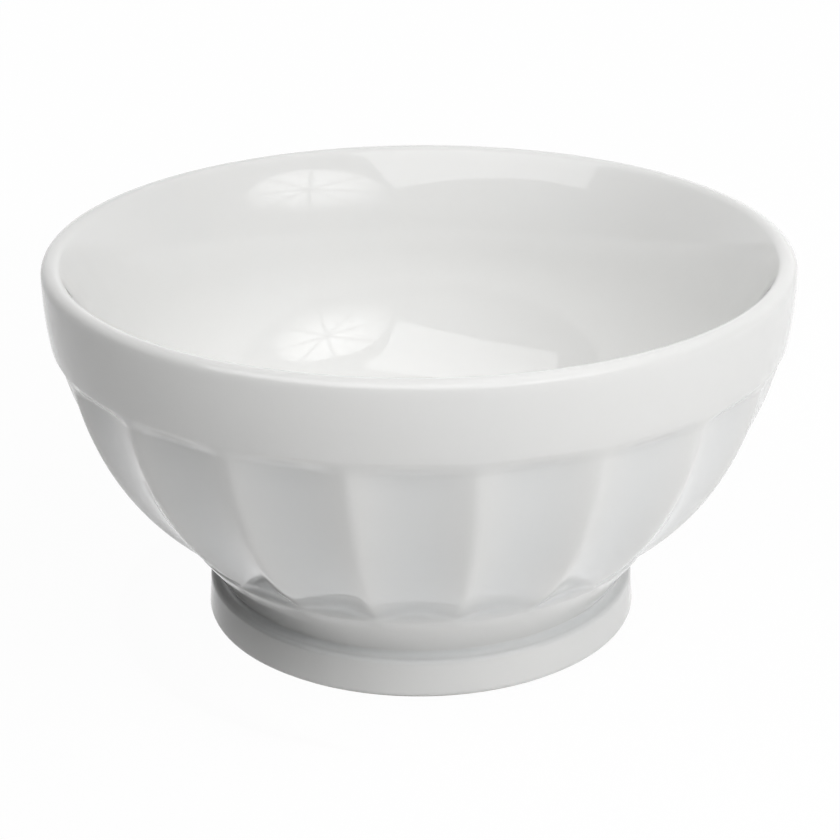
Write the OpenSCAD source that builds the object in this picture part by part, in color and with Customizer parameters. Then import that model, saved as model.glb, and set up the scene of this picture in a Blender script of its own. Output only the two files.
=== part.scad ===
// Footed latte bowl in white porcelain.
// A fluted bowl is luted with slip onto a separately formed foot ring, then glazed all over
// but for the bare rim that it stands on. Sizes are of the finished bowl, over the glaze.

/* [Bowl] */
// Outside diameter of the ball-shaped wall
bowl_d = 139.6; // [120:0.1:170]
// Height from the table to the top of the lip
bowl_h = 73.2; // [66:0.1:90]
// Thickness of the rounded lip
lip_t = 3.8; // [2.6:0.1:5]
// How much smaller than the wall's the radius of the ball-shaped belly inside is
belly_t = 9.6; // [8:0.1:12]
// How far the centre of the belly lies below that of the wall
belly_drop = 8; // [6:0.1:9]
// Radius of the flare that opens the inside from the belly out to the lip
flare_r = 56; // [40:1:80]
// Thickness of the floor at its middle
floor_t = 6.4; // [4:0.1:10]
// Radius of the dish of the floor
dish_r = 140; // [100:1:300]
// Radius that blends the floor into the inside wall
blend_r = 22; // [15:1:30]

/* [Flutes] */
// Number of flutes round the wall
flute_count = 20; // [14:1:28]
// Depth of a flute at its middle
flute_depth = 2.2; // [1.2:0.1:2.8]
// Height of the straight upper ends of the flutes
flute_top_z = 57.2; // [45:0.1:64]
// Radius of the hollow of a flute at its narrow lower end
hollow_r = 30; // [20:0.5:60]

/* [Base] */
// Diameter of the plain base that the flutes run into
base_d = 90.4; // [84:0.1:96]
// Height of the lower edge of the base
base_z = 17.5; // [14:0.1:22]
// How far the lower edge of the base is set in from the ball-shaped wall
base_inset = 1; // [0.8:0.1:1.6]
// Height of the band on the base that closes the flutes
band_h = 3.5; // [1:0.1:6]
// How far the band leans in towards its top
band_lean = 0.4; // [0:0.1:1.5]

/* [Foot] */
// Diameter of the neck between flange and bowl
neck_d = 74.8; // [68:0.1:82]
// Height of the neck between flange and joint
neck_h = 1.6; // [1:0.1:4]
// Thickness of the foot at the joint
neck_t = 4.4; // [3:0.1:8]
// How far the flange stands out from the neck
flange_w = 4; // [2.5:0.1:6]
// Height of the flange
flange_h = 7.6; // [5:0.1:10]
// How far the flange spreads towards the table
flange_flare = 0.4; // [0:0.1:1]
// Width of the foot at the table
rim_w = 5.3; // [4.5:0.1:8]
// Rounding of the lower outside edge of the foot
heel_r = 1.4; // [0.5:0.1:2]
// Rounding of the upper edge of the flange
flange_edge_r = 0.8; // [0.4:0.1:1.5]
// Rounding of the inside edge of the standing rim
rim_edge_r = 0.7; // [0.3:0.1:1]

/* [Joint and glaze] */
// Thickness of the slip that lutes bowl and foot together
slip_t = 0.5; // [0.2:0.1:1]
// Thickness of the glaze
glaze_t = 0.3; // [0.2:0.05:0.5]
// Height of the bare rim left without glaze
bare_h = 0.8; // [0.5:0.1:3]

/* [Hidden] */
$fn = 144;

// How far cuts run past what they cut
overrun = 5;

// Chords that stand for each rounded stretch of a turned outline
lip_steps = 18;
wall_steps = 8;
flare_steps = 12;
side_steps = 18;
blend_steps = 12;
dish_steps = 8;
edge_steps = 8;

// Ball-shaped wall: it passes outside the lower edge of the base, and its centre follows from that
base_r = base_d / 2;
wall_centre_z = base_z + sqrt(pow(bowl_d / 2, 2) - pow(base_r + base_inset, 2));

// Lip: a round that the outside of the wall and the flare of the inside run into
lip_r = lip_t / 2;
lip_z = bowl_h - lip_r;
lip_out_r = sqrt(pow(bowl_d / 2, 2) - pow(lip_z - wall_centre_z, 2));
lip_mid_r = lip_out_r - lip_r;
lip_centre = [lip_mid_r, lip_z];

// Foot ring from its neck outwards, with the joint on top
neck_r = neck_d / 2;
flange_r = neck_r + flange_w;
foot_r = flange_r + flange_flare;
foot_h = flange_h + neck_h;

// Underside of the bowl, on the slip
under_z = foot_h + slip_t;

// Centres of the arcs of the inside: ball-shaped belly, dished floor and the blend between them
belly_r = bowl_d / 2 - belly_t;
belly_centre = [0, wall_centre_z - belly_drop];
dish_centre = [0, under_z + floor_t + dish_r];
centre_gap = dish_centre.y - belly_centre.y;
blend_gap = pow(belly_r - blend_r, 2) - pow(dish_r - blend_r, 2);
blend_z = (blend_gap / centre_gap + belly_centre.y + dish_centre.y) / 2;
blend_centre = [sqrt(pow(belly_r - blend_r, 2) - pow(blend_z - belly_centre.y, 2)), blend_z];

// Flare: the arc that touches the belly and the round of the lip, and its lean where it meets the lip
lip_reach = norm(lip_centre - belly_centre);
flare_reach = flare_r - lip_r;
flare_offset = (pow(flare_r + belly_r, 2) - pow(lip_reach, 2) - pow(flare_reach, 2)) / (2 * flare_reach);
flare_lean = acos(flare_offset / lip_reach) - bearing(belly_centre, lip_centre);
flare_centre = lip_centre + flare_reach * [cos(flare_lean), -sin(flare_lean)];

// Flutes: each is the hollow left by a waisted spool that leans with the wall above the base
flute_r = bowl_d / 2 - flute_depth;
spool_r = flute_r + hollow_r;
spool_lean = asin((wall_centre_z - base_z) / (bowl_d / 2));
spool_top = flute_r * sin(spool_lean - asin((wall_centre_z - flute_top_z) / flute_r)) + overrun;
// Part of a turn of the spool that faces the bowl, in half widths of a flute at the waist
spool_turn_share = 6;
spool_turn = min(180, spool_turn_share * asin(min(1, base_r * sin(180 / flute_count) / hollow_r)));

// Cove between flange and neck, as large as the flange's top face allows
cove_r = min(neck_h, flange_w - flange_edge_r);

// Radius of the outside of the wall, set in below the glazed surface
function wall_radius(inset) = norm([lip_mid_r + lip_r - inset, lip_z - wall_centre_z]);

// Point of the flare that is level with the middle of the lip's round
function flare_end(inset) =
    [flare_centre.x - sqrt(pow(flare_r - inset, 2) - pow(lip_z - flare_centre.y, 2)), lip_z];

// Direction from one point to another
function bearing(from, to) = atan2(to.y - from.y, to.x - from.x);

// Points along an arc, without its last point when another stretch goes on from there
function arc(centre, r, start, end, steps, last = 0) =
    [for (i = [0 : steps - 1 + last]) centre + r * [cos(start + (end - start) * i / steps),
                                                    sin(start + (end - start) * i / steps)]];

// Radius of the hollow of the foot at a height
function bore_at(z) = foot_r - rim_w + (neck_r - neck_t - foot_r + rim_w) * z / foot_h;

// Inside of the bowl: dished floor, blend, ball-shaped belly and flare, open at the top
module cavity(inset) {
    floor_end = bearing(dish_centre, blend_centre);
    belly_start = bearing(belly_centre, blend_centre);
    belly_end = bearing(belly_centre, flare_centre);
    top = flare_end(inset);
    rotate_extrude()
        polygon(concat(
            arc(dish_centre, dish_r + inset, -90, floor_end, dish_steps),
            arc(blend_centre, blend_r + inset, floor_end, belly_start, blend_steps),
            arc(belly_centre, belly_r + inset, belly_start, belly_end, side_steps),
            arc(flare_centre, flare_r - inset, 180 + belly_end, bearing(flare_centre, top), flare_steps),
            [top, [top.x, lip_z + overrun], [0, lip_z + overrun]]));
}

// Ball-shaped wall between the base and the flutes' upper ends
module flute_blank(inset) {
    rotate_extrude()
        intersection() {
            translate([0, wall_centre_z])
                circle(r = wall_radius(inset));
            translate([0, base_z + inset])
                square([bowl_d, flute_top_z - base_z]);
        }
}

// Waisted spool whose side is the hollow of one flute
module flute_spool(inset) {
    translate([spool_r * cos(spool_lean), 0, wall_centre_z - spool_r * sin(spool_lean)])
        rotate([0, spool_lean, 0])
            rotate([0, 0, 180 - spool_turn / 2])
                rotate_extrude(angle = spool_turn)
                    difference() {
                        translate([0, -overrun])
                            square([spool_r, spool_top + overrun]);
                        translate([spool_r, 0])
                            circle(r = flute_r - inset);
                    }
}

module fluted_wall(inset) {
    difference() {
        flute_blank(inset);
        for (i = [0 : flute_count - 1])
            rotate([0, 0, 360 * i / flute_count - 90])
                flute_spool(inset);
    }
}

// Plain band under the lip, as a solid that the inside is cut from
module plain_band(inset) {
    wall_centre = [0, wall_centre_z];
    top = [lip_mid_r + lip_r - inset, lip_z];
    wall_r = wall_radius(inset);
    low_z = flute_top_z + inset;
    start = asin((low_z - wall_centre_z) / wall_r);
    rotate_extrude()
        polygon(concat(
            [[0, low_z]],
            arc(wall_centre, wall_r, start, bearing(wall_centre, top), wall_steps),
            [top, [0, lip_z]]));
}

// Round of the lip, down to the start of the flare
module lip(inset) {
    rotate_extrude()
        polygon(concat(
            arc(lip_centre, lip_r - inset, 0, 180 - flare_lean, lip_steps, last = 1),
            [flare_end(inset)]));
}

// Cone that rises from the neck, and the band that closes the flutes
module base(inset) {
    rotate_extrude()
        polygon([
            [0, under_z],
            [neck_r - inset, under_z],
            [base_r - inset, base_z],
            [base_r - inset - band_lean, base_z + band_h],
            [0, base_z + band_h]]);
}

// The whole bowl, set in below the glazed surface
module bowl_shape(inset) {
    difference() {
        union() {
            fluted_wall(inset);
            plain_band(inset);
            base(inset);
        }
        cavity(inset);
    }
    lip(inset);
}

// Outside of the foot from the table up to a height
function foot_outside(inset, top_z) =
    let (heel = foot_r - inset - heel_r,
         edge = flange_r - inset - flange_edge_r,
         flange_z = flange_h - inset,
         neck = neck_r - inset)
    concat(
        arc([heel, heel_r], heel_r, -90, 0, edge_steps, last = 1),
        arc([edge, flange_z - flange_edge_r], flange_edge_r, 0, 90, edge_steps, last = 1),
        arc([neck + cove_r, flange_z + cove_r], cove_r, 270, 180, edge_steps, last = 1),
        [[neck, top_z]]);

module bowl_body() {
    color("linen")
        bowl_shape(glaze_t);
}

module foot_ring() {
    rim = bore_at(0) + glaze_t + rim_edge_r;
    color("antiquewhite")
        rotate_extrude()
            polygon(concat(
                foot_outside(glaze_t, foot_h),
                [[bore_at(foot_h) + glaze_t, foot_h]],
                arc([rim, rim_edge_r], rim_edge_r, 180, 270, edge_steps, last = 1)));
}

module luting_slip() {
    bore = bore_at(foot_h) + glaze_t;
    color("wheat")
        rotate_extrude()
            translate([bore, foot_h])
                square([neck_r - glaze_t - bore, slip_t]);
}

// Skin over the outside, the lip and the inside, down to the bare rim
module glaze_coat() {
    color("white")
        difference() {
            union() {
                bowl_shape(0);
                rotate_extrude()
                    polygon(concat([[0, 0]], foot_outside(0, under_z), [[0, under_z]]));
            }
            bowl_shape(glaze_t);
            rotate_extrude()
                polygon(concat([[0, 0]], foot_outside(glaze_t, under_z), [[0, under_z]]));
            translate([0, 0, -overrun])
                cylinder(r = foot_r + overrun, h = bare_h + overrun);
        }
}

// Skin inside the hollow of the foot and under the bowl
module underside_glaze() {
    bore = bore_at(foot_h);
    color("white")
        rotate_extrude()
            polygon([
                [0, under_z - glaze_t],
                [bore, under_z - glaze_t],
                [bore, foot_h],
                [bore_at(bare_h), bare_h],
                [bore_at(bare_h) + glaze_t, bare_h],
                [bore + glaze_t, foot_h],
                [bore + glaze_t, under_z],
                [0, under_z]]);
}

bowl_body();
foot_ring();
luting_slip();
glaze_coat();
underside_glaze();
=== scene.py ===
"""White porcelain latte bowl: glaze over clay, on a white studio floor."""
import math

import bpy
import numpy as np
from mathutils import Matrix, Vector


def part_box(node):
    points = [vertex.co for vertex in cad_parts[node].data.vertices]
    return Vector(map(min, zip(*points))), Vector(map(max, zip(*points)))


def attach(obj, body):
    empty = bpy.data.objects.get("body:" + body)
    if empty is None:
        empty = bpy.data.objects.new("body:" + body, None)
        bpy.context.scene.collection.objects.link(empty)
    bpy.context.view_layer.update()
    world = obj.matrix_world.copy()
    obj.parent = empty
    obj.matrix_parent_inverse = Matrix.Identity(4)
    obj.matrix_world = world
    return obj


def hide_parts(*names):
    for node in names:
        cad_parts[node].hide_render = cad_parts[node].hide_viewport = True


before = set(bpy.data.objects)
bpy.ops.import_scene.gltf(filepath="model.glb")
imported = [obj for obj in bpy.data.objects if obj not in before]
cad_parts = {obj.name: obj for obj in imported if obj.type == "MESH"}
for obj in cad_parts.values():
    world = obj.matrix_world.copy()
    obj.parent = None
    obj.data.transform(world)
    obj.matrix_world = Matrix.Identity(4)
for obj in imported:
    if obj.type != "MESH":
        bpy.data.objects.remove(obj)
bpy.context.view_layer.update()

MM = 0.001

# Places that the frame gives: glaze, joint and foot
glaze_low, glaze_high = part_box("glaze_coat")
slip_low, slip_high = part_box("luting_slip")
GLAZE_T = glaze_high.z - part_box("bowl_body")[1].z
BOWL_R = glaze_high.x
BOWL_H = glaze_high.z
BARE_Z = glaze_low.z
JOINT_Z = slip_low.z
UNDER_Z = slip_high.z
NECK_R = slip_high.x + GLAZE_T
FOOT_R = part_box("foot_ring")[1].x + GLAZE_T

# Bowl
LIP_R = 1.9 * MM
BELLY_T = 9.6 * MM
BELLY_DROP = 8.0 * MM
FLARE_R = 56 * MM
FLOOR_T = 6.4 * MM
DISH_R = 140 * MM
BLEND_R = 22 * MM

# Flutes, with the softness that the glaze gives to the ridges and to the flutes' upper ends
FLUTES = 20
FLUTE_DEPTH = 2.2 * MM
FLUTE_TOP_Z = 57.2 * MM
HOLLOW_R = 30 * MM
RIDGE_SOFT = 0.5 * MM
LEDGE_SOFT = 1.8 * MM

# Base, with the softness of the creases where the flutes run out
BASE_R = 45.2 * MM
BASE_Z = 17.5 * MM
BASE_INSET = 1.0 * MM
BAND_H = 3.5 * MM
BAND_LEAN = 0.4 * MM
CONE_OUT = 1.0 * MM
BASE_EDGE_R = 1.5 * MM
CREASE_SOFT = 0.6 * MM

# Foot
FLANGE_W = 4.0 * MM
FLANGE_H = 7.6 * MM
FLANGE_EDGE_R = 0.8 * MM
COVE_R = 0.85 * MM
HEEL_R = 1.4 * MM
RIM_EDGE_R = 0.7 * MM
RIM_W = 5.3 * MM
NECK_T = 4.4 * MM

# Grid: columns in each flute, how far they crowd towards the ridges, and every how many rows the hidden
# side of the glaze keeps one where the wall is plain
FLUTE_COLUMNS = 14
CROWDING = 0.55
HIDDEN_ROW_STEP = 3
PLAIN_Z = 30 * MM
LIP_STEPS = 16

WALL_Z = BASE_Z + math.sqrt(BOWL_R ** 2 - (BASE_R + BASE_INSET) ** 2)
BELLY_Z = WALL_Z - BELLY_DROP
BELLY_R = BOWL_R - BELLY_T
LIP_Z = BOWL_H - LIP_R
LIP_OUT_R = math.sqrt(BOWL_R ** 2 - (LIP_Z - WALL_Z) ** 2)
LIP_MID_R = LIP_OUT_R - LIP_R
FLANGE_R = NECK_R + FLANGE_W
FLUTE_R = BOWL_R - FLUTE_DEPTH
SPOOL_R = FLUTE_R + HOLLOW_R
SPOOL_LEAN = math.asin((WALL_Z - BASE_Z) / BOWL_R)
PITCH = 2 * math.pi / FLUTES


def line(start, end, steps):
    """Points from start towards end, closer together near both ends: a half cosine of the share."""
    share = (1 - np.cos(np.pi * np.arange(steps) / steps)) / 2
    return np.outer(1 - share, start) + np.outer(share, end)


def arc(centre, radius, start, end, steps):
    """Points on a circle from one angle in degrees towards another, without the last."""
    angle = np.radians(start + (end - start) * np.arange(steps) / steps)
    return np.array(centre) + radius * np.column_stack([np.cos(angle), np.sin(angle)])


def bearing(start, end):
    """Direction from one point to another, in degrees."""
    return math.degrees(math.atan2(end[1] - start[1], end[0] - start[0]))


def cone():
    """Slope in degrees of the cone under the base, and the centre of the cove at its foot.

    The cove touches the flange's top and the cone, so its centre is out from where the two would meet by
    its radius over the tangent of half the slope.
    """
    slope = bearing((NECK_R + CONE_OUT, FLANGE_H), (BASE_R, BASE_Z))
    out = COVE_R / math.tan(math.radians(slope / 2))
    return slope, (NECK_R + CONE_OUT + out, FLANGE_H + COVE_R)


def foot_profile():
    """Radius and height up the glazed foot: heel, flange wall and edge, flange top and cove."""
    heel = (FOOT_R - HEEL_R, HEEL_R)
    edge = (FLANGE_R - FLANGE_EDGE_R, FLANGE_H - FLANGE_EDGE_R)
    slope, cove = cone()
    bare_angle = math.degrees(math.asin((BARE_Z - HEEL_R) / HEEL_R))
    return np.concatenate([
        arc(heel, HEEL_R, bare_angle, 0, 6),
        line((FOOT_R, HEEL_R), (FLANGE_R, edge[1]), 8),
        arc(edge, FLANGE_EDGE_R, 0, 90, 9),
        line((edge[0], FLANGE_H), (cove[0], FLANGE_H), 4),
        arc(cove, COVE_R, 270, 90 + slope, 9),
    ])


def base_profile():
    """Radius and height out along the cone under the base, round its edge and on up the leaning band.

    The round of the edge touches the cone and the band, at its radius times the tangent of half the turn
    from where the two would meet.
    """
    slope, cove = cone()
    lean = math.degrees(math.atan2(BAND_H, -BAND_LEAN))
    along = np.array((math.cos(math.radians(slope)), math.sin(math.radians(slope))))
    inwards = np.array((-along[1], along[0]))
    short = BASE_EDGE_R * math.tan(math.radians((lean - slope) / 2))
    cone_end = np.array((BASE_R, BASE_Z)) - short * along
    edge = cone_end + BASE_EDGE_R * inwards
    edge_z = edge[1] + BASE_EDGE_R * math.sin(math.radians(lean - 90))
    band_z = np.concatenate([
        np.linspace(edge_z, BASE_Z + BAND_H, 12, endpoint=False),
        np.linspace(BASE_Z + BAND_H, FLUTE_TOP_Z - LEDGE_SOFT, 34, endpoint=False),
        np.linspace(FLUTE_TOP_Z - LEDGE_SOFT, FLUTE_TOP_Z + LEDGE_SOFT, 14, endpoint=False),
    ])
    return np.concatenate([
        line(cove + COVE_R * inwards, cone_end, 12),
        arc(edge, BASE_EDGE_R, slope - 90, lean - 90, 6),
        np.column_stack([BASE_R - BAND_LEAN * (band_z - BASE_Z) / BAND_H, band_z]),
    ])


def inside_profile():
    """Radius and height from the plain band over the lip and down the inside to just short of its middle.

    The inside is a flare, a ball-shaped belly, a blend and a dished floor, arcs that touch each other. The
    flare touches the lip's round too: its lean there follows from the three sides of the triangle between
    the centres of lip, belly and flare.
    """
    lip, belly, dish = (LIP_MID_R, LIP_Z), (0, BELLY_Z), (0, UNDER_Z + FLOOR_T + DISH_R)
    reach, gap = FLARE_R - LIP_R, math.dist(belly, lip)
    offset = ((FLARE_R + BELLY_R) ** 2 - gap ** 2 - reach ** 2) / (2 * reach)
    lean = math.acos(offset / gap) - math.radians(bearing(belly, lip))
    flare = (lip[0] + reach * math.cos(lean), lip[1] - reach * math.sin(lean))
    blend_gap = ((BELLY_R - BLEND_R) ** 2 - (DISH_R - BLEND_R) ** 2) / (dish[1] - BELLY_Z)
    blend_z = (blend_gap + BELLY_Z + dish[1]) / 2
    blend = (math.sqrt((BELLY_R - BLEND_R) ** 2 - (blend_z - BELLY_Z) ** 2), blend_z)
    floor_end, belly_end = bearing(dish, blend), bearing(belly, blend)
    low = math.degrees(math.asin((FLUTE_TOP_Z + LEDGE_SOFT - WALL_Z) / BOWL_R))
    lip_end = 180 - math.degrees(lean)
    return np.concatenate([
        arc((0, WALL_Z), BOWL_R, low, bearing((0, WALL_Z), (LIP_OUT_R, LIP_Z)), 10),
        arc(lip, LIP_R, 0, lip_end, LIP_STEPS),
        arc(flare, FLARE_R, lip_end, 180 + bearing(belly, flare), 20),
        arc(belly, BELLY_R, bearing(belly, flare), belly_end, 20),
        arc(blend, BLEND_R, belly_end, floor_end, 16),
        arc(dish, DISH_R, floor_end, -90, 8),
    ]), UNDER_Z + FLOOR_T


def flute_angles():
    """Angles round the bowl from the ridge left of the front flute, crowded towards the ridges by a sine."""
    share = np.arange(FLUTE_COLUMNS) / FLUTE_COLUMNS
    share = share - CROWDING * np.sin(2 * np.pi * share) / (2 * np.pi)
    return ((np.arange(FLUTES)[:, None] - 0.5 + share) * PITCH).ravel()


def hollow_radius(angle, z):
    """Radius of one flute's hollow at an angle from its middle and at a height.

    The hollow is the side of a waisted spool, a ring-shaped surface round a leaning axis, and the
    radius where a level line from the bowl's axis meets it is found by Newton's method.
    """
    cos_lean, sin_lean = math.cos(SPOOL_LEAN), math.sin(SPOOL_LEAN)
    across, height = np.cos(angle), z - WALL_Z
    r = np.sqrt(FLUTE_R ** 2 - height ** 2) + 0 * across
    for _ in range(12):
        towards = SPOOL_R - r * across * cos_lean + height * sin_lean
        sideways = r * np.sin(angle)
        along = r * across * sin_lean + height * cos_lean
        waist = np.sqrt(FLUTE_R ** 2 - along ** 2)
        error = towards ** 2 + sideways ** 2 - (SPOOL_R - waist) ** 2
        slope = (2 * sideways * np.sin(angle) - 2 * towards * across * cos_lean
                 - 2 * (SPOOL_R - waist) * along * across * sin_lean / waist)
        r = r - error / slope
    return r


def fluted_radius(base, angles):
    """Radius over a grid of base rows and angles.

    A soft minimum of the two nearest hollows makes the rounded ridges, a soft maximum with the base
    makes the creases where they run out, and a smooth step takes the upper ends out to the ball.
    """
    base_r, z = base[:, :1], base[:, 1:]
    from_middle = np.abs((angles + PITCH / 2) % PITCH - PITCH / 2)[None, :]
    near, far = hollow_radius(from_middle, z), hollow_radius(PITCH - from_middle, z)
    wall = RIDGE_SOFT * (math.log(2) / 2 - np.logaddexp(-near / RIDGE_SOFT, -far / RIDGE_SOFT))
    wall = CREASE_SOFT * np.logaddexp(wall / CREASE_SOFT, base_r / CREASE_SOFT)
    step = np.clip((z - FLUTE_TOP_Z + LEDGE_SOFT) / (2 * LEDGE_SOFT), 0, 1)
    step = step * step * (3 - 2 * step)
    ball = np.sqrt(BOWL_R ** 2 - (z - WALL_Z) ** 2)
    return wall + (ball - wall) * step


def around(radius, z, angles):
    """Points of a grid of radii and heights turned round the axis, from the front (-Y) anticlockwise."""
    turned = angles[None, :] - math.pi / 2
    return np.stack(np.broadcast_arrays(radius * np.cos(turned), radius * np.sin(turned), z), axis=-1)


def turned(profile, angles):
    """Grid of a profile of radius and height carried round the axis."""
    return around(profile[:, :1], profile[:, 1:], angles)


def sunk(grid, depth):
    """A grid moved in along its normals, the cross product of its two tangents."""
    across = np.roll(grid, -1, 1) - np.roll(grid, 1, 1)
    along = np.gradient(grid, axis=0)
    normal = np.cross(across, along)
    return grid - depth * normal / np.linalg.norm(normal, axis=-1, keepdims=True)


def piece(name, grid, poles=None, pool=None):
    """A mesh from a grid that closes round the axis: each pole closes an end, or else the rows close too."""
    rows, columns = grid.shape[:2]
    index = np.arange(rows * columns).reshape(rows, columns)
    lower = index if poles is None else index[:-1]
    upper = np.roll(index, -1, 0) if poles is None else index[1:]
    quads = np.stack([lower, np.roll(lower, -1, 1), np.roll(upper, -1, 1), upper], -1).reshape(-1, 4)
    points, faces = grid.reshape(-1, 3), quads.tolist()
    if poles is not None:
        first, last = len(points), len(points) + 1
        points = np.concatenate([points, [(0, 0, poles[0]), (0, 0, poles[1])]])
        bottom, top = index[0], index[-1]
        faces += np.stack([np.roll(bottom, -1), bottom, np.full(columns, first)], -1).tolist()
        faces += np.stack([top, np.roll(top, -1), np.full(columns, last)], -1).tolist()
    mesh = bpy.data.meshes.new(name)
    mesh.from_pydata(points, [], faces)
    mesh.polygons.foreach_set("use_smooth", np.ones(len(mesh.polygons), dtype=bool))
    if pool is not None:
        attribute = mesh.attributes.new("pool", "FLOAT", "POINT")
        attribute.data.foreach_set("value", np.concatenate([pool.ravel(), [0, 0]]).astype(np.float32))
    mesh.update()
    made = bpy.data.objects.new(name, mesh)
    bpy.context.scene.collection.objects.link(made)
    return made


class Value:
    """A socket in a shader sum: each operator adds one Math node."""

    def __init__(self, finish, socket):
        self.finish, self.socket = finish, socket

    def math(self, operation, first, second=0.0):
        return self.finish.node("ShaderNodeMath", {"operation": operation}, {0: first, 1: second})

    def __add__(self, other):
        return self.math("ADD", self, other)

    def __sub__(self, other):
        return self.math("SUBTRACT", self, other)

    def __rsub__(self, other):
        return self.math("SUBTRACT", other, self)

    def __mul__(self, other):
        return self.math("MULTIPLY", self, other)

    def __pow__(self, other):
        return self.math("POWER", self, other)

    __radd__, __rmul__ = __add__, __mul__


class Finish:
    """The node tree of a material, a lamp or the world."""

    def __init__(self, owner):
        owner.use_nodes = True
        self.owner, self.tree = owner, owner.node_tree
        self.tree.nodes.clear()

    def node(self, kind, settings=None, sockets=None, output=0):
        """Adds a node, sets its settings, then the values or links of its sockets; gives one output."""
        made = self.tree.nodes.new(kind)
        for name, value in (settings or {}).items():
            setattr(made, name, value)
        for name, value in (sockets or {}).items():
            if isinstance(value, Value):
                self.tree.links.new(value.socket, made.inputs[name])
            else:
                made.inputs[name].default_value = value
        return Value(self, made.outputs[output]) if len(made.outputs) else made

    def mix(self, share, first, second):
        """A colour between two colours, by a share."""
        return self.node("ShaderNodeMix", {"data_type": "RGBA"}, {0: share, 6: first, 7: second}, 2)

    def noise(self, scale, detail):
        """Noise over the object, about 0 to 1, with so many lumps to the metre."""
        coordinates = self.node("ShaderNodeTexCoord", output="Object")
        return self.node("ShaderNodeTexNoise", None,
                         {"Vector": coordinates, "Scale": scale, "Detail": detail}, "Fac")

    def bump(self, height, distance):
        """A normal tipped by a height that is worth so many metres."""
        return self.node("ShaderNodeBump", None, {"Height": height, "Distance": distance, "Strength": 1.0})


def material(name):
    """The empty node tree of a new material."""
    return Finish(bpy.data.materials.new(name))


def glaze_finish():
    """Glossy white glaze: thin and warm on ridges, cool where it pools, with a faint ripple."""
    glaze = material("white_glaze")
    pool = glaze.node("ShaderNodeAttribute", {"attribute_name": "pool"}, output="Fac")
    cloud = glaze.noise(45, 3)
    thick = pool * 0.8 + (cloud - 0.5) * 0.5
    colour = glaze.mix(thick, (0.80, 0.80, 0.79, 1), (0.76, 0.775, 0.78, 1))
    ripple = glaze.noise(160, 1)
    shader = glaze.node("ShaderNodeBsdfPrincipled", None, {
        "Base Color": colour,
        "Roughness": 0.012 + glaze.noise(90, 2) * 0.012,
        "IOR": 1.52,
        "Normal": glaze.bump(ripple, 0.012 * MM),
    })
    glaze.node("ShaderNodeOutputMaterial", None, {"Surface": shader})
    return glaze.owner


def clay_finish(name, colour, dark, grain):
    """Fired clay without glaze: matte, with a fine grain and a few darker specks."""
    clay = material(name)
    specks = clay.noise(2600, 2) ** 6
    shade = clay.noise(120, 3) * 0.6 + specks * 1.5
    shader = clay.node("ShaderNodeBsdfPrincipled", None, {
        "Base Color": clay.mix(shade, colour, dark),
        "Roughness": 0.75 + clay.noise(900, 2) * 0.2,
        "Normal": clay.bump(clay.noise(3200, 3), grain),
    })
    clay.node("ShaderNodeOutputMaterial", None, {"Surface": shader})
    return clay.owner


def dress(made, finish, node):
    """Gives a piece its finish and lets it stand for its CAD node."""
    made.data.materials.append(finish)
    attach(made, "root")
    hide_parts(node)


angles = flute_angles()
foot_rows, base_rows = foot_profile(), base_profile()
inside_rows, floor_z = inside_profile()
wall_r = fluted_radius(base_rows, angles)
outside = np.concatenate([
    turned(foot_rows, angles),
    around(wall_r, base_rows[:, 1:], angles),
    turned(inside_rows, angles),
])
rows = np.arange(len(outside))
wall_row = len(foot_rows) + np.searchsorted(base_rows[:, 1], PLAIN_Z)
ledge_row = len(foot_rows) + np.searchsorted(base_rows[:, 1], FLUTE_TOP_Z - 2 * LEDGE_SOFT)
flare_row = len(outside) - len(inside_rows) + np.argmax(inside_rows[:, 1]) + LIP_STEPS // 2
plain = ((rows > wall_row) & (rows < ledge_row)) | (rows > flare_row)
hidden = sunk(outside, GLAZE_T)[~plain | (rows % HIDDEN_ROW_STEP == 0)]

# Where the glaze pools: the middles of the flutes and the cove of the foot
ball_r = np.sqrt(BOWL_R ** 2 - (base_rows[:, 1:] - WALL_Z) ** 2)
flute_pool = np.clip((ball_r - wall_r) / FLUTE_DEPTH - 0.3, 0, 1)
cove_pool = np.exp(-((foot_rows[:, 1] - FLANGE_H - COVE_R / 2) / COVE_R) ** 2)
pool = np.concatenate([
    np.zeros((len(hidden), len(angles))),
    np.repeat(cove_pool[:, None], len(angles), 1),
    flute_pool,
    np.zeros((len(inside_rows), len(angles))),
])
white_glaze = glaze_finish()
glaze = piece("glaze", np.concatenate([hidden[::-1], outside]), (floor_z - GLAZE_T, floor_z), pool)
dress(glaze, white_glaze, "glaze_coat")

fired_clay = clay_finish("fired_clay", (0.72, 0.70, 0.66, 1), (0.66, 0.63, 0.58, 1), 0.02 * MM)
bare_clay = clay_finish("bare_clay", (0.66, 0.64, 0.60, 1), (0.50, 0.47, 0.42, 1), 0.04 * MM)
above_joint = hidden[hidden[:, 0, 2] > UNDER_Z]
joint_rim = np.column_stack([[NECK_R / 2, NECK_R - GLAZE_T], [UNDER_Z, UNDER_Z]])
clay_bowl = piece("clay_bowl", np.concatenate([turned(joint_rim, angles), above_joint]),
                  (UNDER_Z, floor_z - GLAZE_T))
dress(clay_bowl, fired_clay, "bowl_body")


def bore_at(z):
    """Radius of the foot's tapered hollow at a height."""
    rim, joint = FOOT_R - RIM_W, NECK_R - NECK_T
    return rim + (joint - rim) * z / JOINT_Z


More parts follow.
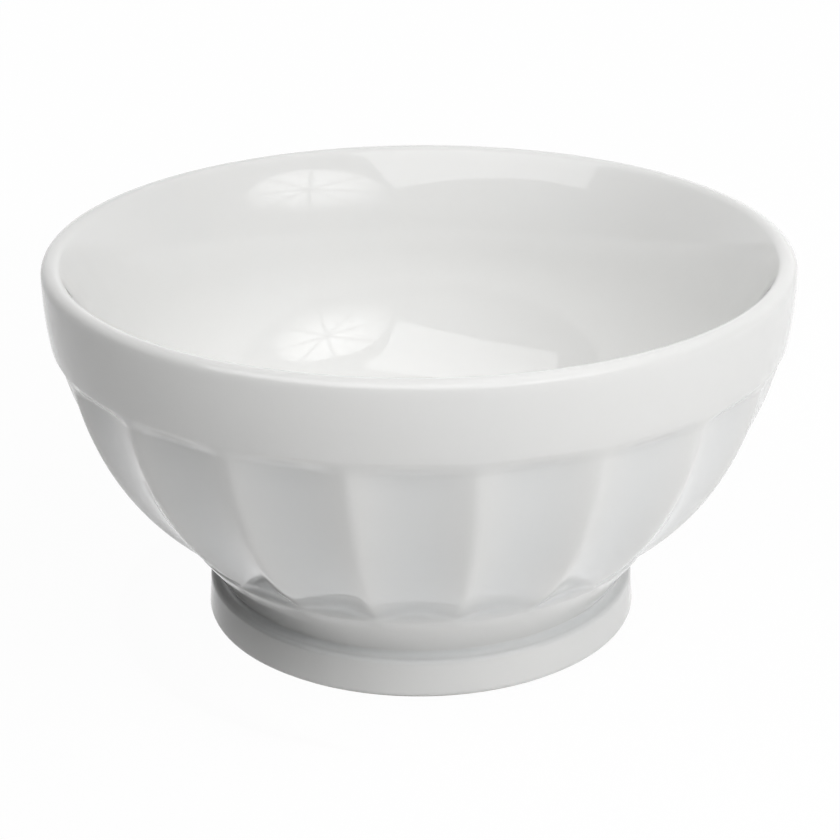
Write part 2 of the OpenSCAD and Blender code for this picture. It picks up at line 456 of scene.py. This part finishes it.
def foot_ring_profile():
    """Radius and height round the clay of the foot: flat top, bore, rounded rim, heel, flange and cove."""
    heel = (FOOT_R - GLAZE_T - HEEL_R, HEEL_R)
    edge = (FLANGE_R - GLAZE_T - FLANGE_EDGE_R, FLANGE_H - GLAZE_T - FLANGE_EDGE_R)
    slope, cove = cone()
    cove_r, rise = COVE_R + GLAZE_T, math.radians(90 + slope)
    cone_r = cove[0] + cove_r * math.cos(rise)
    joint_r = cone_r + (JOINT_Z - cove[1] - cove_r * math.sin(rise)) / math.tan(math.radians(slope))
    rim = (bore_at(0) + GLAZE_T + RIM_EDGE_R, RIM_EDGE_R)
    bore_top = (bore_at(JOINT_Z) + GLAZE_T, JOINT_Z)
    return np.concatenate([
        arc(heel, HEEL_R, -90, 0, 10),
        line((heel[0] + HEEL_R, HEEL_R), (edge[0] + FLANGE_EDGE_R, edge[1]), 6),
        arc(edge, FLANGE_EDGE_R, 0, 90, 8),
        line((edge[0], edge[1] + FLANGE_EDGE_R), (cove[0], edge[1] + FLANGE_EDGE_R), 3),
        arc(cove, cove_r, 270, 90 + slope, 8),
        line((joint_r, JOINT_Z), bore_top, 5),
        line(bore_top, (rim[0] - RIM_EDGE_R, RIM_EDGE_R), 8),
        arc(rim, RIM_EDGE_R, 180, 270, 8),
        line((rim[0], 0), (heel[0], 0), 6),
    ])


RING_COLUMNS = 240
ring_angles = np.arange(RING_COLUMNS) * 2 * math.pi / RING_COLUMNS
clay_foot = piece("clay_foot", turned(foot_ring_profile(), ring_angles))
dress(clay_foot, bare_clay, "foot_ring")


def hollow_glaze_profile():
    """Radius and height over the glaze in the foot's hollow, from its hidden side round to the seen one."""
    ceiling = UNDER_Z - GLAZE_T
    rim_r, top_r = bore_at(BARE_Z), bore_at(ceiling)
    return np.concatenate([
        line((top_r / 3, UNDER_Z), (top_r + GLAZE_T, UNDER_Z), 4),
        line((top_r + GLAZE_T, UNDER_Z), (rim_r + GLAZE_T, BARE_Z), 6),
        line((rim_r + GLAZE_T, BARE_Z), (rim_r, BARE_Z), 2),
        line((rim_r, BARE_Z), (top_r + COVE_R / 2, ceiling - COVE_R), 10),
        arc((top_r + COVE_R / 2 - COVE_R, ceiling - COVE_R), COVE_R, 0, 90, 8),
        line((top_r - COVE_R / 2, ceiling), (top_r / 8, ceiling), 12),
    ])


hollow_glaze = piece("hollow_glaze", turned(hollow_glaze_profile()[::-1], ring_angles),
                     (UNDER_Z - GLAZE_T, UNDER_Z))
dress(hollow_glaze, white_glaze, "underside_glaze")

fired_slip = clay_finish("fired_slip", (0.70, 0.67, 0.62, 1), (0.6, 0.57, 0.52, 1), 0.02 * MM)
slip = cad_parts["luting_slip"]
slip.data.materials.clear()
slip.data.materials.append(fired_slip)

# Camera: where it stands and looks, fitted to the photograph's outline
CAMERA_REACH = 383.1 * MM
CAMERA_Z = 198.8 * MM
CAMERA_ROUND = math.radians(1.07)
CAMERA_DOWN = math.radians(22.82)
CAMERA_ROLL = math.radians(-0.362)
FOCAL_SHARE = 2156.6 / 840
SENSOR = 36.0

camera_data = bpy.data.cameras.new("camera")
camera_data.sensor_width = SENSOR
camera_data.lens = FOCAL_SHARE * SENSOR
camera_data.clip_start = 0.01
camera = bpy.data.objects.new("camera", camera_data)
bpy.context.scene.collection.objects.link(camera)
place = Vector((CAMERA_REACH * math.sin(CAMERA_ROUND), -CAMERA_REACH * math.cos(CAMERA_ROUND), CAMERA_Z))
camera.matrix_world = (Matrix.Translation(place) @ Matrix.Rotation(CAMERA_ROUND, 4, "Z")
                       @ Matrix.Rotation(math.pi / 2 - CAMERA_DOWN, 4, "X")
                       @ Matrix.Rotation(CAMERA_ROLL, 4, "Z"))
bpy.context.scene.camera = camera


def lamp(name, across, down, round_angle, rise, reach, watts, shape="RECTANGLE"):
    """A soft lamp at an angle round from the camera's side, at a rise, that faces the bowl."""
    data = bpy.data.lights.new(name, "AREA")
    data.shape, data.size, data.size_y, data.energy = shape, across, down, watts
    made = bpy.data.objects.new(name, data)
    bpy.context.scene.collection.objects.link(made)
    round_angle, rise = math.radians(round_angle), math.radians(rise)
    towards = Vector((math.sin(round_angle) * math.cos(rise), -math.cos(round_angle) * math.cos(rise),
                      math.sin(rise)))
    made.matrix_world = (Matrix.Translation(towards * reach + Vector((0, 0, BOWL_H / 2)))
                         @ towards.to_track_quat("Z", "Y").to_matrix().to_4x4())
    return made


# Umbrella: its ribs' width in half widths and what light they keep
RIBS = 8
RIB_WIDTH = 0.2
RIB_DARK = 0.1


def umbrella_light(made, hub):
    """Light of a lamp with dark ribs that meet at a hub, brightest near it and fading downwards.

    Across and up are places on the lamp in half widths and half heights from the hub; a rib shows where
    the sine of half the ribs' number times the angle round the hub, times the distance out, is small.
    """
    light = Finish(made.data)
    place = light.node("ShaderNodeNewGeometry", output="Position")
    turn = made.matrix_world.to_3x3()
    centre = made.matrix_world.translation

    def along(axis, half, start):
        unit = turn.col[axis]
        dot = light.node("ShaderNodeVectorMath", {"operation": "DOT_PRODUCT"}, {0: place, 1: unit}, "Value")
        return (dot - (unit.dot(centre) + start * half)) * (1 / half)

    across = along(0, made.data.size / 2, hub[0])
    up = along(1, made.data.size_y / 2, hub[1])
    out = (across * across + up * up) ** 0.5
    angle = up.math("ARCTAN2", up, across)
    rib = out * up.math("ABSOLUTE", up.math("SINE", angle * (RIBS / 2)))
    cloth = up.math("SMOOTH_MIN", rib * (1 / RIB_WIDTH), 1.0) * (1 - RIB_DARK) + RIB_DARK
    glow = 0.35 + 1.1 * (1 - up.math("MINIMUM", out, 1.0)) + 0.35 * up
    emission = light.node("ShaderNodeEmission", None, {"Color": (1, 1, 1, 1), "Strength": cloth * glow})
    light.node("ShaderNodeOutputLight", None, {"Surface": emission})


# Lamps, each with its size, its angles round and up, its distance and its watts; the fills aren't mirrored
umbrella = lamp("umbrella", 1.1, 0.46, 41, 27.5, 1.2, 3.4, "ELLIPSE")
umbrella_light(umbrella, (0.08, 0.12))
lamp("front_panel", 2.14, 1.1, -27, 52, 1.6, 12.4)
lamp("right_fill", 1.2, 1.5, 60, 50, 1.6, 15.4).visible_glossy = False
lamp("left_fill", 1.2, 1.0, -90, 60, 1.6, 7.0).visible_glossy = False
lamp("back_fill", 1.6, 1.0, 175, 30, 1.6, 7.0).visible_glossy = False

black = material("black_card")
soot = black.node("ShaderNodeBsdfDiffuse", None, {"Color": (0.03, 0.03, 0.03, 1)})
black.node("ShaderNodeOutputMaterial", None, {"Surface": soot})


def card(name, low, high):
    """A black card between two rows of points, which takes light but isn't seen."""
    columns = np.arange(len(low) - 1)
    mesh = bpy.data.meshes.new(name)
    mesh.from_pydata(np.concatenate([low, high]), [], np.stack(
        [columns, columns + 1, columns + 1 + len(low), columns + len(low)], -1).tolist())
    mesh.materials.append(black.owner)
    made = bpy.data.objects.new(name, mesh)
    bpy.context.scene.collection.objects.link(made)
    made.visible_camera = made.visible_glossy = False


# Black cards that take light from the left: a tall one beside the bowl, and a low one bent round the foot,
# whose height falls towards the front by a smooth step of the angle
FLAG_X, FLAG_FRONT, FLAG_BACK, FLAG_H = -0.15, -0.30, 0.22, 0.22
flag_foot = np.array([(FLAG_X, FLAG_FRONT, 0), (FLAG_X, FLAG_BACK, 0)])
card("tall_card", flag_foot, flag_foot + np.array((0, 0, FLAG_H)))
CARD_R, CARD_H = 0.06, 0.022
CARD_BACK, CARD_FRONT, CARD_FALL = -150, -5, 55
card_angle = np.linspace(CARD_BACK, CARD_FRONT, 30)
fall = np.clip((CARD_FRONT - card_angle) / CARD_FALL, 0, 1)
card_top = CARD_H * fall * fall * (3 - 2 * fall)
card_foot = turned(np.array([(CARD_R, 0)]), np.radians(card_angle))[0]
card("low_card", card_foot, card_foot + np.outer(card_top, (0, 0, 1)))

# Floor: white to the camera and in reflections, with the bowl's shadow kept
FLOOR_SIZE = 6.0
FLOOR_WHITE = 0.97
floor_mesh = bpy.data.meshes.new("floor")
half = FLOOR_SIZE / 2
floor_mesh.from_pydata([(-half, -half, 0), (half, -half, 0), (half, half, 0), (-half, half, 0)], [],
                       [(0, 1, 2, 3)])
floor = bpy.data.objects.new("floor", floor_mesh)
bpy.context.scene.collection.objects.link(floor)


def seen_white(finish):
    """1 for rays that show the background: straight to the camera, mirrored or through glass."""
    shares = [finish.node("ShaderNodeLightPath", output=name) for name in
              ("Is Camera Ray", "Is Glossy Ray", "Is Transmission Ray")]
    return shares[0].math("MINIMUM", shares[0] + shares[1] + shares[2], 1.0)


# Studio walls, which only mirrored and scattered light meets: dark, but for the white backdrop behind the
# bowl, which fades in towards the back and out upwards
WALL_REACH = 3.0
rise, turn = np.meshgrid(np.linspace(0, math.pi / 2, 10)[:-1], np.arange(24) * math.pi / 12, indexing="ij")
dome = WALL_REACH * np.stack([np.cos(rise) * np.cos(turn), np.cos(rise) * np.sin(turn), np.sin(rise)], -1)
studio_walls = piece("studio_walls", dome[::-1], (WALL_REACH, -WALL_REACH))
studio_walls.visible_camera = False
wall_finish = material("studio_wall")
here = wall_finish.node("ShaderNodeTexCoord", output="Object")
back, high = (wall_finish.node("ShaderNodeSeparateXYZ", None, {0: here}, axis) * (1 / WALL_REACH)
              for axis in ("Y", "Z"))
behind = back.math("SMOOTH_MIN", back.math("MAXIMUM", back * 1.6, 0.0), 1.0)
low = back.math("SMOOTH_MIN", back.math("MAXIMUM", 1.6 - high * 2.4, 0.0), 1.0)
dark = wall_finish.node("ShaderNodeBsdfDiffuse", None, {"Color": (0.1, 0.1, 0.1, 1)})
lit = wall_finish.node("ShaderNodeEmission", None, {"Color": (1, 1, 1, 1), "Strength": 1.0})
both = wall_finish.node("ShaderNodeMixShader", None,
                        {0: seen_white(wall_finish) * behind * low, 1: dark, 2: lit})
wall_finish.node("ShaderNodeOutputMaterial", None, {"Surface": both})
studio_walls.data.materials.append(wall_finish.owner)

paper = material("white_paper")
matte = paper.node("ShaderNodeBsdfDiffuse", None, {"Color": (0.86, 0.86, 0.86, 1)})
white = paper.node("ShaderNodeEmission", None, {"Color": (1, 1, 1, 1), "Strength": 1.0})
surface = paper.node("ShaderNodeMixShader", None, {0: seen_white(paper) * FLOOR_WHITE, 1: matte, 2: white})
paper.node("ShaderNodeOutputMaterial", None, {"Surface": surface})
floor_mesh.materials.append(paper.owner)

WORLD_LIGHT = 0.0
world = Finish(bpy.data.worlds.new("studio"))
bpy.context.scene.world = world.owner
around_light = world.node("ShaderNodeBackground", None, {"Color": (1, 1, 1, 1), "Strength": WORLD_LIGHT})
backdrop = world.node("ShaderNodeBackground", None, {"Color": (1, 1, 1, 1), "Strength": 1.0})
sky = world.node("ShaderNodeMixShader", None, {0: seen_white(world), 1: around_light, 2: backdrop})
world.node("ShaderNodeOutputWorld", None, {"Surface": sky})

bpy.context.scene.view_settings.view_transform = "Standard"
